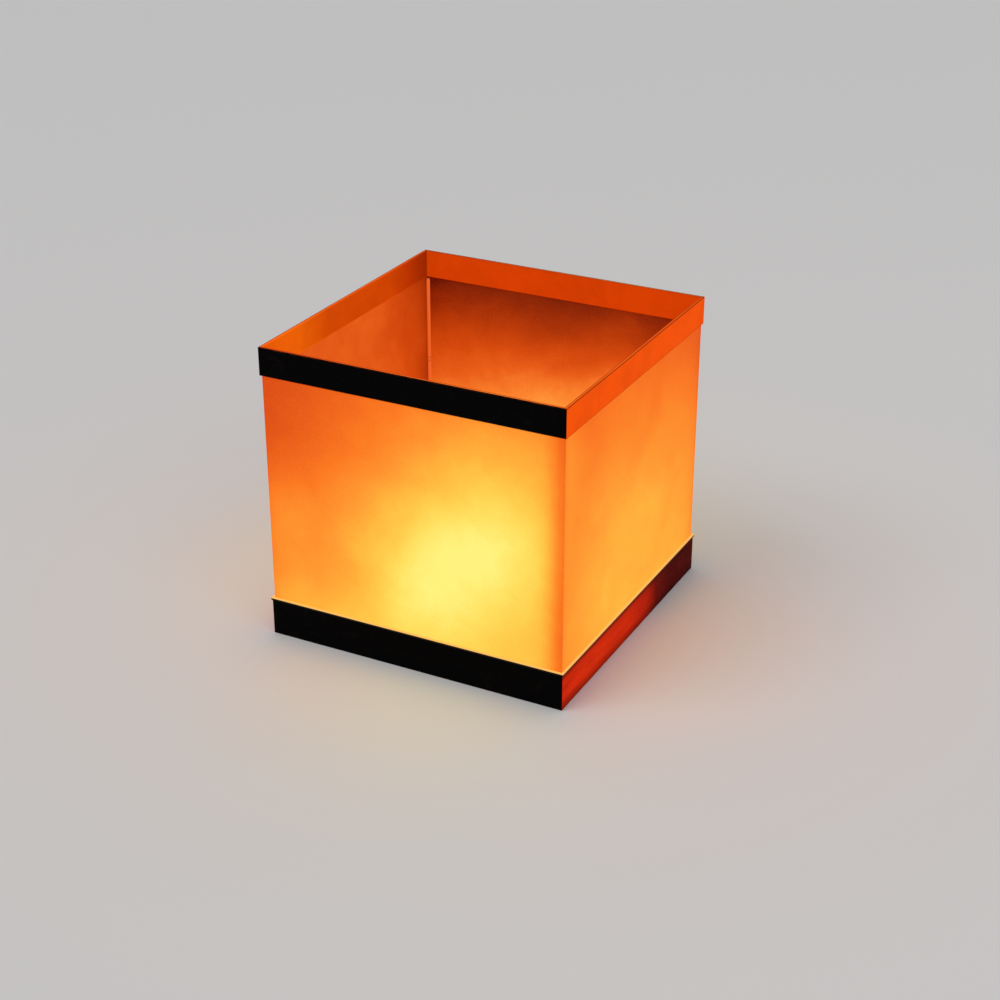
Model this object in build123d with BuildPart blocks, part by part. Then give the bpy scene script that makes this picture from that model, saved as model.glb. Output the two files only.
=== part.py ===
from build123d import *
from math import cos, radians, sin
import os

# Floating pool light: an open-topped square paper shade that drops over four bamboo posts
# on a boxed-in foam float, with a sealed battery candle standing in a cup in the middle.
#
# Millimetres. +Z is up, the origin is at the middle of the underside, and -Y is the front.

# ---------------------------------------------------------------- driving dimensions

# The whole light
plan_size = 150.0  # across the base boards, and across the rim strips, both ways
total_height = 144.0

# Float: a foam block inside four boards, under a deck
board_height = 17.8
board_thickness = 2.0
foam_clearance = 0.1  # between the block and the boards
deck_thickness = 1.2
deck_overhang = 0.5  # proud of the boards on every side

# Corner posts, in notches of the foam block
post_diameter = 1.8
post_clearance = 0.05
post_seat_height = 3.0  # where a post's foot stands in its notch
post_tip_chamfer = 0.4
post_top_gap = 0.4  # below the rim's inner strips

# Shade: one folded paper, with a glue tab, between two rows of card strips
paper_thickness = 0.4
glue_tab_width = 7.0
tab_gap = 0.2  # below the rim's inner strips
strip_height = 13.4
strip_thickness = 0.6

# Cup that the lamp stands in
cup_depth = 11.0  # from the flange's top to the cup's floor
cup_wall = 0.8
cup_flange_width = 5.6
cup_flange_thickness = 1.0
cup_rounding = 0.4
pocket_clearance = 0.2  # between the cup and the foam and deck
drain_diameter = 4.0
lamp_clearance = 0.5  # between the lamp and the cup

# Coin cells and what holds them
cell_diameter = 20.0
cell_height = 3.2
cell_foot_height = 0.4  # the narrower negative side
cell_foot_inset = 1.2
cell_clearance = 0.15
cradle_wall = 4.3
cradle_clearance = 0.15

# Lamp housing
housing_floor = 1.6
housing_rounding = 1.0
neck_wall = 1.8
neck_height = 7.2
shoulder_width = 1.5
shoulder_gap = 0.2  # between the housing's shoulder and the cup's flange, and again under the cap

# O-ring in the neck
ring_section = 1.0
ring_groove_width = 1.6
ring_groove_depth = 0.95
ring_groove_rise = 1.8  # above the shoulder
ring_clearance = 0.03  # between the O-ring and the bottom of its groove

# Bayonet that holds the cap: lugs of the cap in level grooves of the neck
lug_count = 2
lug_angle = 16.0
lug_height = 1.1
lug_depth = 0.65
lug_clearance = 0.15  # round a lug, in its groove
lug_end_clearance = 0.5  # degrees, at each end of a lug's travel
lug_rise = 4.55  # above the shoulder
twist_angle = 45.0  # from on to off
detent_angle = 2.5  # the ridge between a groove and its entry slot

# Cap
cap_clearance = 0.15
cap_wall = 3.45
crown_gap = 0.2  # between the neck's top and the crown
crown_thickness = 1.6
cap_chamfer = 0.6
flute_count = 24
flute_diameter = 2.4
flute_depth = 0.8
marker_diameter = 2.0
marker_depth = 0.4

# Flame-shaped lens, glued under the crown
lens_flange_gap = 1.6  # inside the neck's bore
lens_flange_width = 2.0
lens_flange_thickness = 1.0
lens_wall = 1.0
lens_clearance = 0.1  # in the crown's hole
flame_height = 20.8  # above the crown
# the flame outline between its foot and its tip, as shares of its radius and height
flame_shape = [(0.99, 0.15), (0.88, 0.35), (0.61, 0.59), (0.31, 0.81), (0.12, 0.95)]

# Contacts and electronics
contact_sheet = 0.3  # thickness of the stamped contacts
negative_height = 0.8
negative_radius = 8.0
button_radius = 2.5
strap_width = 3.0
strap_gap = 0.3  # between the strap and the cells
slot_clearance = 0.15  # between the strap and its slot in the cradle
clip_height = 3.0
clip_length = 8.0
clip_width = 4.0
clip_offset = 6.0  # from the lamp's axis, clear of the LED's leads
circuit_thickness = 1.0
circuit_clearance = 0.4  # inside the neck's bore
led_diameter = 5.0
led_body_height = 6.2
led_flange_height = 1.0
led_flange_width = 0.4
led_lead_pitch = 2.54
led_lead_diameter = 0.5
led_lead_length = 1.8
led_hole_clearance = 0.1
resistor_size = (3.2, 1.6, 0.6)
resistor_offset = 7.0
pad_width = 2.0
pad_angle = 12.0
pad_spacing = 12.0  # degrees from the bridge's middle to each pad's
pad_thickness = 0.1
bridge_thickness = 0.4
bridge_margin = 0.2  # inside the lens flange's edges
bridge_angle = 36.0
bridge_middle = -90.0  # towards the front, where the switch pads are
leg_angle = 5.0

# ---------------------------------------------------------------- heights and faces that follow

half_plan = plan_size / 2
deck_top = board_height + deck_thickness
rim_bottom = total_height - strip_height

paper_outer = half_plan - strip_thickness
paper_inner = paper_outer - paper_thickness

board_inner = half_plan - board_thickness
foam_half = board_inner - foam_clearance
post_radius = post_diameter / 2
post_centre = board_inner - post_clearance - post_radius
notch_inner = post_centre - post_radius - post_clearance

# Radii of the lamp, from the coin cells outwards
cell_radius = cell_diameter / 2
cradle_inner = cell_radius + cell_clearance
cradle_outer = cradle_inner + cradle_wall
bore_radius = cradle_outer + cradle_clearance
neck_radius = bore_radius + neck_wall
cap_bore = neck_radius + cap_clearance
cap_radius = cap_bore + cap_wall
body_radius = neck_radius + shoulder_width
cup_inner = body_radius + lamp_clearance
cup_outer = cup_inner + cup_wall
pocket_radius = cup_outer + pocket_clearance
lens_flange_radius = bore_radius - lens_flange_gap
lens_radius = lens_flange_radius - lens_flange_width
bridge_inner = lens_radius - lens_wall + bridge_margin
bridge_outer = lens_flange_radius - bridge_margin
pad_radius = (bridge_inner + bridge_outer) / 2

# Levels of the lamp, from the cup's floor up
flange_top = deck_top + cup_flange_thickness
cup_floor = flange_top - cup_depth
cup_bottom = cup_floor - cup_wall
pocket_floor = cup_bottom - pocket_clearance
inside_floor = cup_floor + housing_floor
first_cell = inside_floor + negative_height
second_cell = first_cell + cell_height
cells_top = second_cell + cell_height
circuit_bottom = cells_top + clip_height
circuit_top = circuit_bottom + circuit_thickness
pad_top = circuit_top + pad_thickness
shoulder = flange_top + shoulder_gap
cap_bottom = shoulder + shoulder_gap
neck_top = shoulder + neck_height
crown_bottom = neck_top + crown_gap
crown_top = crown_bottom + crown_thickness
lens_bottom = crown_bottom - lens_flange_thickness
ring_groove_bottom = shoulder + ring_groove_rise
lug_bottom = shoulder + lug_rise
lug_top = lug_bottom + lug_height

sides = {"front": 0, "right": 90, "back": 180, "left": 270}
corners = {"front_right": (1, -1), "back_right": (1, 1), "back_left": (-1, 1), "front_left": (-1, -1)}

os.makedirs("parts", exist_ok=True)


def save(part, name):
    """Labels a finished piece and writes it to its own file."""
    part.label = name
    export_step(part, f"parts/{name}.step")


def mitred_wall(outer, thickness, bottom, top, turn):
    """One of four mitred walls round a square, on the side that turn faces; outer is half its width."""
    inner = outer - thickness
    with BuildPart() as wall:
        with BuildSketch(Plane.XY.offset(bottom).rotated((0, 0, turn))):
            with BuildLine():
                Polyline(
                    (-outer, -outer), (outer, -outer), (inner, -inner), (-inner, -inner), close=True
                )
            make_face()
        extrude(amount=top - bottom)
    return wall.part


def ring_sector(inner, outer, bottom, top, start, width):
    """A block bent round the lamp's axis, from the angle start over width degrees."""
    direction = (cos(radians(start)), sin(radians(start)), 0)
    upright = Plane(origin=(0, 0, 0), x_dir=direction, z_dir=(direction[1], -direction[0], 0))
    with BuildPart() as sector:
        with BuildSketch(upright):
            with Locations(((inner + outer) / 2, (bottom + top) / 2)):
                Rectangle(outer - inner, top - bottom)
        revolve(axis=Axis.Z, revolution_arc=width)
    return sector.part


# ---------------------------------------------------------------- float

with BuildPart() as float_block:
    with BuildSketch():
        Rectangle(2 * foam_half, 2 * foam_half)
    extrude(amount=board_height)
    with BuildSketch(Plane.XY.offset(pocket_floor)):
        Circle(pocket_radius)
    extrude(amount=board_height - pocket_floor, mode=Mode.SUBTRACT)
    # a notch at each corner, where a post stands between the foam and the boards
    notch_pitch = notch_inner + foam_half
    with BuildSketch(Plane.XY.offset(post_seat_height)):
        with GridLocations(notch_pitch, notch_pitch, 2, 2):
            Rectangle(foam_half - notch_inner, foam_half - notch_inner)
    extrude(amount=board_height - post_seat_height, mode=Mode.SUBTRACT)
save(float_block.part, "float_block")

for side, turn in sides.items():
    save(mitred_wall(half_plan, board_thickness, 0, board_height, turn), f"base_board_{side}")

with BuildPart() as deck_plate:
    with BuildSketch(Plane.XY.offset(board_height)):
        Rectangle(plan_size + 2 * deck_overhang, plan_size + 2 * deck_overhang)
        Circle(pocket_radius, mode=Mode.SUBTRACT)
        with GridLocations(2 * post_centre, 2 * post_centre, 2, 2):
            Circle(post_radius + post_clearance, mode=Mode.SUBTRACT)
    extrude(amount=deck_thickness)
save(deck_plate.part, "deck_plate")

for corner, (x_side, y_side) in corners.items():
    with BuildPart() as corner_post:
        with BuildSketch(Plane.XY.offset(post_seat_height)):
            with Locations((x_side * post_centre, y_side * post_centre)):
                Circle(post_radius)
        extrude(amount=rim_bottom - post_top_gap - post_seat_height)
        tip = corner_post.faces().sort_by(Axis.Z)[-1]
        chamfer(tip.edges(), post_tip_chamfer)
    save(corner_post.part, f"corner_post_{corner}")

with BuildPart() as lamp_cup:
    flange_radius = cup_outer + cup_flange_width
    with BuildSketch(Plane.XZ):
        with BuildLine():
            Polyline(
                (0, cup_bottom),
                (cup_outer, cup_bottom),
                (cup_outer, deck_top),
                (flange_radius, deck_top),
                (flange_radius, flange_top),
                (cup_inner, flange_top),
                (cup_inner, cup_floor),
                (0, cup_floor),
                close=True,
            )
        make_face()
    revolve(axis=Axis.Z)
    flange_face = lamp_cup.faces().filter_by(GeomType.PLANE).sort_by(Axis.Z)[-1]
    fillet(flange_face.edges(), cup_rounding)
    with BuildSketch(Plane.XY.offset(cup_bottom)):
        Circle(drain_diameter / 2)
    extrude(amount=cup_wall, mode=Mode.SUBTRACT)
save(lamp_cup.part, "lamp_cup")

# ---------------------------------------------------------------- shade

# The folded paper, panel by panel: the front and back ones cover the edges of the side ones
for side, direction in {"front": -1, "back": 1}.items():
    with BuildPart() as paper_panel:
        with BuildSketch(Plane.XY.offset(deck_top)):
            with Locations((0, direction * (paper_outer + paper_inner) / 2)):
                Rectangle(2 * paper_outer, paper_thickness)
        extrude(amount=total_height - deck_top)
    save(paper_panel.part, f"paper_{side}")

for side, direction in {"left": -1, "right": 1}.items():
    with BuildPart() as paper_panel:
        with BuildSketch(Plane.XY.offset(deck_top)):
            with Locations((direction * (paper_outer + paper_inner) / 2, 0)):
                Rectangle(paper_thickness, 2 * paper_inner)
        extrude(amount=total_height - deck_top)
        if side == "right":
            # the sheet's end, folded behind the front panel and glued there
            with BuildSketch(Plane.XY.offset(deck_top)):
                with Locations((paper_inner - glue_tab_width / 2, (paper_thickness / 2) - paper_inner)):
                    Rectangle(glue_tab_width, paper_thickness)
            extrude(amount=rim_bottom - tab_gap - deck_top)
    save(paper_panel.part, f"paper_{side}")

for side, turn in sides.items():
    outer_strip = mitred_wall(half_plan, strip_thickness, rim_bottom, total_height, turn)
    save(outer_strip, f"rim_outer_{side}")
    inner_strip = mitred_wall(paper_inner, strip_thickness, rim_bottom, total_height, turn)
    save(inner_strip, f"rim_inner_{side}")

# ---------------------------------------------------------------- lamp

with BuildPart() as lamp_housing:
    with BuildSketch(Plane.XZ):
        with BuildLine():
            Polyline(
                (0, cup_floor),
                (body_radius, cup_floor),
                (body_radius, shoulder),
                (neck_radius, shoulder),
                (neck_radius, neck_top),
                (bore_radius, neck_top),
                (bore_radius, inside_floor),
                (0, inside_floor),
                close=True,
            )
        make_face()
    revolve(axis=Axis.Z)
    foot = lamp_housing.faces().filter_by(GeomType.PLANE).sort_by(Axis.Z)[0]
    fillet(foot.edges(), housing_rounding)
    ring_groove_inner = neck_radius - ring_groove_depth
    ring_groove_top = ring_groove_bottom + ring_groove_width
    add(
        ring_sector(ring_groove_inner, cap_bore, ring_groove_bottom, ring_groove_top, 0, 360),
        mode=Mode.SUBTRACT,
    )
    # each groove lets its lug turn from on to off; past the detent, the entry slot runs out
    # at the neck's top, so that the cap can be taken off to change the cells
    groove_inner = cap_bore - lug_depth - lug_clearance
    groove_span = lug_angle + twist_angle + 2 * lug_end_clearance
    slot_span = lug_angle + 2 * lug_end_clearance
    for lug in range(lug_count):
        groove_start = lug * 360 / lug_count - lug_angle / 2 - lug_end_clearance
        slot_start = groove_start + groove_span + detent_angle
        groove_bottom = lug_bottom - lug_clearance
        groove_top = lug_top + lug_clearance
        groove = ring_sector(
            groove_inner, cap_bore, groove_bottom, groove_top, groove_start, groove_span
        )
        slot = ring_sector(groove_inner, cap_bore, groove_bottom, crown_bottom, slot_start, slot_span)
        add(groove, mode=Mode.SUBTRACT)
        add(slot, mode=Mode.SUBTRACT)
save(lamp_housing.part, "lamp_housing")

with BuildPart() as o_ring:
    ring_middle = ring_groove_inner + ring_clearance + ring_section / 2
    with BuildSketch(Plane.XZ):
        with Locations((ring_middle, ring_groove_bottom + ring_groove_width / 2)):
            Circle(ring_section / 2)
    revolve(axis=Axis.Z)
save(o_ring.part, "o_ring")

strap_inner = cell_radius + strap_gap
strap_outer = strap_inner + contact_sheet

with BuildPart() as cell_cradle:
    with BuildSketch(Plane.XY.offset(inside_floor)):
        Circle(cradle_outer)
        Circle(cradle_inner, mode=Mode.SUBTRACT)
        # the slot that the negative contact's strap rises in
        slot_end = strap_outer + slot_clearance
        with Locations((-slot_end / 2, 0)):
            Rectangle(slot_end, strap_width + 2 * slot_clearance, mode=Mode.SUBTRACT)
    extrude(amount=circuit_bottom - inside_floor)
save(cell_cradle.part, "cell_cradle")

for name, bottom in {"coin_cell_lower": first_cell, "coin_cell_upper": second_cell}.items():
    with BuildPart() as coin_cell:
        with BuildSketch(Plane.XY.offset(bottom)):
            Circle(cell_radius - cell_foot_inset)
        extrude(amount=cell_foot_height)
        with BuildSketch(Plane.XY.offset(bottom + cell_foot_height)):
            Circle(cell_radius)
        extrude(amount=cell_height - cell_foot_height)
    save(coin_cell.part, name)

with BuildPart() as negative_contact:
    with BuildSketch(Plane.XY.offset(inside_floor)):
        Circle(negative_radius)
        with Locations((-strap_outer / 2, 0)):
            Rectangle(strap_outer, strap_width)
    extrude(amount=contact_sheet)
    with BuildSketch(Plane.XY.offset(inside_floor + contact_sheet)):
        Circle(button_radius)
    extrude(amount=negative_height - contact_sheet)
    with BuildSketch(Plane.XY.offset(inside_floor)):
        with Locations((-(strap_inner + strap_outer) / 2, 0)):
            Rectangle(contact_sheet, strap_width)
    extrude(amount=circuit_bottom - inside_floor)
save(negative_contact.part, "negative_contact")

with BuildPart() as positive_contact:
    # a Z of spring sheet, from the upper cell to the underside of the circuit board
    with BuildSketch(Plane.XZ.offset(-clip_offset)):
        with Locations((0, cells_top + contact_sheet / 2), (0, circuit_bottom - contact_sheet / 2)):
            Rectangle(clip_length, contact_sheet)
        with Locations(((clip_length - contact_sheet) / 2, (cells_top + circuit_bottom) / 2)):
            Rectangle(contact_sheet, clip_height)
    extrude(amount=clip_width / 2, both=True)
save(positive_contact.part, "positive_contact")

with BuildPart() as circuit_board:
    with BuildSketch(Plane.XY.offset(circuit_bottom)):
        Circle(bore_radius - circuit_clearance)
        with GridLocations(led_lead_pitch, 1, 2, 1):
            Circle(led_lead_diameter / 2 + led_hole_clearance, mode=Mode.SUBTRACT)
    extrude(amount=circuit_thickness)
save(circuit_board.part, "circuit_board")

with BuildPart() as led:
    led_radius = led_diameter / 2
    with BuildSketch(Plane.XY.offset(circuit_top)):
        Circle(led_radius + led_flange_width)
    extrude(amount=led_flange_height)
    with BuildSketch(Plane.XY.offset(circuit_top + led_flange_height)):
        Circle(led_radius)
    extrude(amount=led_body_height)
    with Locations((0, 0, circuit_top + led_flange_height + led_body_height)):
        Sphere(led_radius)
    with BuildSketch(Plane.XY.offset(circuit_top - led_lead_length)):
        with GridLocations(led_lead_pitch, 1, 2, 1):
            Circle(led_lead_diameter / 2)
    extrude(amount=led_lead_length)
save(led.part, "led")

with BuildPart() as series_resistor:
    resistor_length, resistor_width, resistor_height = resistor_size
    with BuildSketch(Plane.XY.offset(circuit_top)):
        with Locations((0, resistor_offset)):
            Rectangle(resistor_length, resistor_width)
    extrude(amount=resistor_height)
save(series_resistor.part, "series_resistor")

with BuildPart() as switch_pads:
    pad_inner = pad_radius - pad_width / 2
    pad_outer = pad_radius + pad_width / 2
    for offset_angle in (-pad_spacing, pad_spacing):
        pad_start = bridge_middle + offset_angle - pad_angle / 2
        add(ring_sector(pad_inner, pad_outer, circuit_top, pad_top, pad_start, pad_angle))
save(switch_pads.part, "switch_pads")

# ---------------------------------------------------------------- cap of the lamp

with BuildPart() as cap_ring:
    crown_hole = lens_radius + lens_clearance
    with BuildSketch(Plane.XZ):
        with BuildLine():
            Polyline(
                (cap_bore, cap_bottom),
                (cap_radius, cap_bottom),
                (cap_radius, crown_top),
                (crown_hole, crown_top),
                (crown_hole, crown_bottom),
                (cap_bore, crown_bottom),
                close=True,
            )
        make_face()
    revolve(axis=Axis.Z)
    rim_edges = cap_ring.edges().filter_by(GeomType.CIRCLE).group_by(SortBy.RADIUS)[-1]
    chamfer(rim_edges, cap_chamfer)
    with BuildSketch(Plane.XY.offset(cap_bottom)):
        with PolarLocations(cap_radius + flute_diameter / 2 - flute_depth, flute_count):
            Circle(flute_diameter / 2)
    extrude(amount=crown_top - cap_bottom, mode=Mode.SUBTRACT)
    marker_radius = (cap_bore + crown_hole) / 2
    with BuildSketch(Plane.XY.offset(crown_top - marker_depth)):
        with Locations((0, -marker_radius)):
            Circle(marker_diameter / 2)
    extrude(amount=marker_depth, mode=Mode.SUBTRACT)
    for lug in range(lug_count):
        lug_start = lug * 360 / lug_count - lug_angle / 2
        # the lug's root goes into the skirt, so that they are one solid
        lug_root = cap_bore + cap_clearance
        add(ring_sector(cap_bore - lug_depth, lug_root, lug_bottom, lug_top, lug_start, lug_angle))
save(cap_ring.part, "cap_ring")


def flame_points(radius, height):
    """The flame's outline from its foot to its tip, as points of an upright plane."""
    points = [(radius, crown_top)]
    points += [(radius * across, crown_top + height * up) for across, up in flame_shape]
    points += [(0, crown_top + height)]
    return points


with BuildPart() as flame_lens:
    lens_inner = lens_radius - lens_wall
    with BuildSketch(Plane.XZ):
        with BuildLine():
            Spline(*flame_points(lens_radius, flame_height), tangents=((0, 1), (-1, 0)))
            Line((0, crown_top + flame_height), (0, lens_bottom))
            Line((0, lens_bottom), (lens_flange_radius, lens_bottom))
            Line((lens_flange_radius, lens_bottom), (lens_flange_radius, crown_bottom))
            Line((lens_flange_radius, crown_bottom), (lens_radius, crown_bottom))
            Line((lens_radius, crown_bottom), (lens_radius, crown_top))
        make_face()
    revolve(axis=Axis.Z)
    with BuildSketch(Plane.XZ):
        with BuildLine():
            Spline(*flame_points(lens_inner, flame_height - lens_wall), tangents=((0, 1), (-1, 0)))
            Line((0, crown_top + flame_height - lens_wall), (0, lens_bottom))
            Line((0, lens_bottom), (lens_inner, lens_bottom))
            Line((lens_inner, lens_bottom), (lens_inner, crown_top))
        make_face()
    revolve(axis=Axis.Z, mode=Mode.SUBTRACT)
save(flame_lens.part, "flame_lens")

with BuildPart() as contact_bridge:
    bridge_top = lens_bottom
    bridge_bottom = bridge_top - bridge_thickness
    bridge_start = bridge_middle - bridge_angle / 2
    add(ring_sector(bridge_inner, bridge_outer, bridge_bottom, bridge_top, bridge_start, bridge_angle))
    # a leg onto each pad
    leg_inner = pad_radius - bridge_thickness / 2
    leg_outer = pad_radius + bridge_thickness / 2
    for offset_angle in (-pad_spacing, pad_spacing):
        leg_start = bridge_middle + offset_angle - leg_angle / 2
        add(ring_sector(leg_inner, leg_outer, pad_top, bridge_bottom, leg_start, leg_angle))
save(contact_bridge.part, "contact_bridge")
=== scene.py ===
import math

import bmesh
import bpy
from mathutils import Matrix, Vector, noise


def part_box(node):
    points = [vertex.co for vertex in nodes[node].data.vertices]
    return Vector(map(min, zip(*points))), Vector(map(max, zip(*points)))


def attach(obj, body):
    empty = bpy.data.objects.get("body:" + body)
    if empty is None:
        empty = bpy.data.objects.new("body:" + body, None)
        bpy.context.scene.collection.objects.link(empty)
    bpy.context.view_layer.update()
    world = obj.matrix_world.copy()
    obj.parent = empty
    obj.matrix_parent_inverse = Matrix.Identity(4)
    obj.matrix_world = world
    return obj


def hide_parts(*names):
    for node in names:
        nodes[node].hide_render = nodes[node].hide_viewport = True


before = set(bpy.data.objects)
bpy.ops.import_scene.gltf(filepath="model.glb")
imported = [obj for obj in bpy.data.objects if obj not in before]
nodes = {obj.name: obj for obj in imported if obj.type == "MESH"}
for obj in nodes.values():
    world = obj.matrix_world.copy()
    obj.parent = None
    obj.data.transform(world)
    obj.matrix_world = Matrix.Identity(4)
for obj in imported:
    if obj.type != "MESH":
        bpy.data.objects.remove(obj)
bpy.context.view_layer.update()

# A floating paper lantern, lit from inside. Lengths are metres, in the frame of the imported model:
# +Z is up, -Y is the front wall, +X is the right wall.

MM = 0.001
SIDES = ("front", "right", "back", "left")


# ---------------------------------------------------------------- places, from the frame

paper_low, paper_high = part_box("paper_front")
side_low, side_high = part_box("paper_right")
rim_low, rim_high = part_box("rim_outer_front")
board_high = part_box("base_board_front")[1]
deck_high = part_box("deck_plate")[1]
lens_low, lens_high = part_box("flame_lens")
post_low, post_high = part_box("corner_post_back_right")

deck_top = deck_high.z
shade_top = paper_high.z
rim_bottom = rim_low.z
paper_outer = paper_high.x
paper_thickness = paper_high.y - paper_low.y
paper_middle = paper_outer - paper_thickness / 2
tab_width = side_high.x - side_low.x - paper_thickness
half_plan = rim_high.x
board_top = board_high.z
post_radius = (post_high.x - post_low.x) / 2
post_axis = math.hypot(post_low.x + post_radius, post_low.y + post_radius)


# ---------------------------------------------------------------- camera

CAMERA_AZIMUTH = 27.3
CAMERA_ELEVATION = 26.05
CAMERA_DISTANCE = 0.9035
CAMERA_LENS = 68.6
AIM_RIGHT = 0.0051
AIM_HEIGHT = 0.0537


def make_camera():
    """The camera, turned and raised round a point on the upright axis and a little to its right."""
    azimuth = math.radians(CAMERA_AZIMUTH)
    elevation = math.radians(CAMERA_ELEVATION)
    right = Vector((math.cos(azimuth), math.sin(azimuth), 0))
    towards = Vector((math.sin(azimuth), -math.cos(azimuth), 0)) * math.cos(elevation)
    towards.z = math.sin(elevation)
    aim = right * AIM_RIGHT + Vector((0, 0, AIM_HEIGHT))
    data = bpy.data.cameras.new("camera")
    data.lens = CAMERA_LENS
    data.sensor_width = 36
    data.clip_start = 0.01
    camera = bpy.data.objects.new("camera", data)
    camera.location = aim + towards * CAMERA_DISTANCE
    camera.rotation_euler = (-towards).to_track_quat("-Z", "Y").to_euler()
    bpy.context.scene.collection.objects.link(camera)
    bpy.context.scene.camera = camera


# ---------------------------------------------------------------- material tools


def linear(red, green, blue):
    """A colour given as 0 to 255 in sRGB, as the linear numbers that shaders take."""
    def one(value):
        value /= 255
        return value / 12.92 if value <= 0.04045 else ((value + 0.055) / 1.055) ** 2.4
    return (one(red), one(green), one(blue), 1.0)


class Look:
    """A Principled material, and short calls for the nodes that feed it."""

    def __init__(self, name, color, roughness=0.6, **values):
        self.material = bpy.data.materials.new(name)
        self.material.use_nodes = True
        self.tree = self.material.node_tree
        self.tree.nodes.clear()
        output = self.tree.nodes.new("ShaderNodeOutputMaterial")
        self.shader = self.tree.nodes.new("ShaderNodeBsdfPrincipled")
        self.tree.links.new(self.shader.outputs[0], output.inputs["Surface"])
        self.set("Base Color", color)
        self.set("Roughness", roughness)
        for socket, value in values.items():
            self.set(socket.replace("_", " "), value)

    def set(self, socket, value):
        """Puts a plain value or a node's output on one of the shader's sockets."""
        self.plug(self.shader.inputs[socket], value)

    def plug(self, socket, value):
        if isinstance(value, bpy.types.NodeSocket):
            self.tree.links.new(value, socket)
        elif socket.type == "RGBA" and len(value) == 3:
            socket.default_value = (*value, 1.0)
        elif socket.type == "VECTOR":
            socket.default_value = value[:3]
        else:
            socket.default_value = value

    def node(self, kind, **settings):
        made = self.tree.nodes.new(kind)
        for key, value in settings.items():
            setattr(made, key, value)
        return made

    def place(self, scale=(1, 1, 1), uv=False):
        """Object or sheet coordinates, stretched by scale."""
        where = self.node("ShaderNodeTexCoord")
        mapping = self.node("ShaderNodeMapping")
        self.tree.links.new(where.outputs["UV" if uv else "Object"], mapping.inputs["Vector"])
        mapping.inputs["Scale"].default_value = scale
        return mapping.outputs[0]

    def noise(self, size, detail=3.0, rough=0.55, place=None, distortion=0.0):
        """Noise from 0 to 1, with features about size metres across."""
        made = self.node("ShaderNodeTexNoise")
        self.plug(made.inputs["Vector"], place or self.place())
        made.inputs["Scale"].default_value = 1 / size
        made.inputs["Detail"].default_value = detail
        made.inputs["Roughness"].default_value = rough
        made.inputs["Distortion"].default_value = distortion
        return made.outputs["Fac"]

    def math(self, operation, first, second=0.0, third=0.0):
        made = self.node("ShaderNodeMath", operation=operation)
        for socket, value in zip(made.inputs, (first, second, third)):
            self.plug(socket, value)
        return made.outputs[0]

    def spread(self, value, low, high, to_low=0.0, to_high=1.0, smooth=True):
        """Maps low..high to to_low..to_high."""
        made = self.node("ShaderNodeMapRange", interpolation_type="SMOOTHSTEP" if smooth else "LINEAR")
        for name, number in (
            ("Value", value), ("From Min", low), ("From Max", high),
            ("To Min", to_low), ("To Max", to_high),
        ):
            self.plug(made.inputs[name], number)
        return made.outputs[0]

    def ramp(self, value, stops):
        made = self.node("ShaderNodeValToRGB")
        self.plug(made.inputs["Fac"], value)
        elements = made.color_ramp.elements
        for index, (position, color) in enumerate(stops):
            element = elements[index] if index < 2 else elements.new(position)
            element.position = position
            element.color = color
        return made.outputs["Color"]

    def mix(self, factor, first, second):
        made = self.node("ShaderNodeMix", data_type="RGBA")
        self.plug(made.inputs["Factor"], factor)
        colors = [socket for socket in made.inputs if socket.type == "RGBA"]
        self.plug(colors[0], first)
        self.plug(colors[1], second)
        return next(socket for socket in made.outputs if socket.type == "RGBA")

    def scale(self, color, amount):
        """A colour times a number."""
        made = self.node("ShaderNodeVectorMath", operation="SCALE")
        self.plug(made.inputs[0], color)
        self.plug(made.inputs["Scale"], amount)
        return made.outputs[0]

    def attribute(self, name):
        return self.node("ShaderNodeAttribute", attribute_name=name).outputs["Fac"]

    def axis(self, name):
        """One coordinate of the object, in metres."""
        split = self.node("ShaderNodeSeparateXYZ")
        self.plug(split.inputs[0], self.place())
        return split.outputs[name]

    def bump(self, height, depth, strength=1.0):
        """Dents the surface by height, from 0 to 1, times depth metres."""
        made = self.node("ShaderNodeBump")
        self.plug(made.inputs["Height"], height)
        made.inputs["Distance"].default_value = depth
        made.inputs["Strength"].default_value = strength
        self.set("Normal", made.outputs[0])

    def glow(self, color, strength=1.0):
        self.set("Emission Color", color)
        self.set("Emission Strength", strength)


def dress(node, look):
    """Gives a CAD node a material in every slot of its object."""
    for slot in nodes[node].material_slots:
        slot.material = look.material


def build_mesh(name, vertices, faces, smooth, look):
    """A mesh object in the scene. smooth says for each face whether it is shaded smooth."""
    mesh = bpy.data.meshes.new(name)
    mesh.from_pydata(vertices, [], faces)
    mesh.polygons.foreach_set("use_smooth", smooth)
    mesh.materials.append(look.material)
    made = bpy.data.objects.new(name, mesh)
    bpy.context.scene.collection.objects.link(made)
    return made


def tube_faces(rings, around):
    """Faces over rings of vertices, with a cap at each end, in the order that the rings were made."""
    faces = []
    for k in range(rings - 1):
        for i in range(around):
            j = (i + 1) % around
            faces.append((k * around + i, k * around + j, (k + 1) * around + j, (k + 1) * around + i))
    faces.append(tuple(reversed(range(around))))
    faces.append(tuple((rings - 1) * around + i for i in range(around)))
    return faces


# ---------------------------------------------------------------- paper

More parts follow.
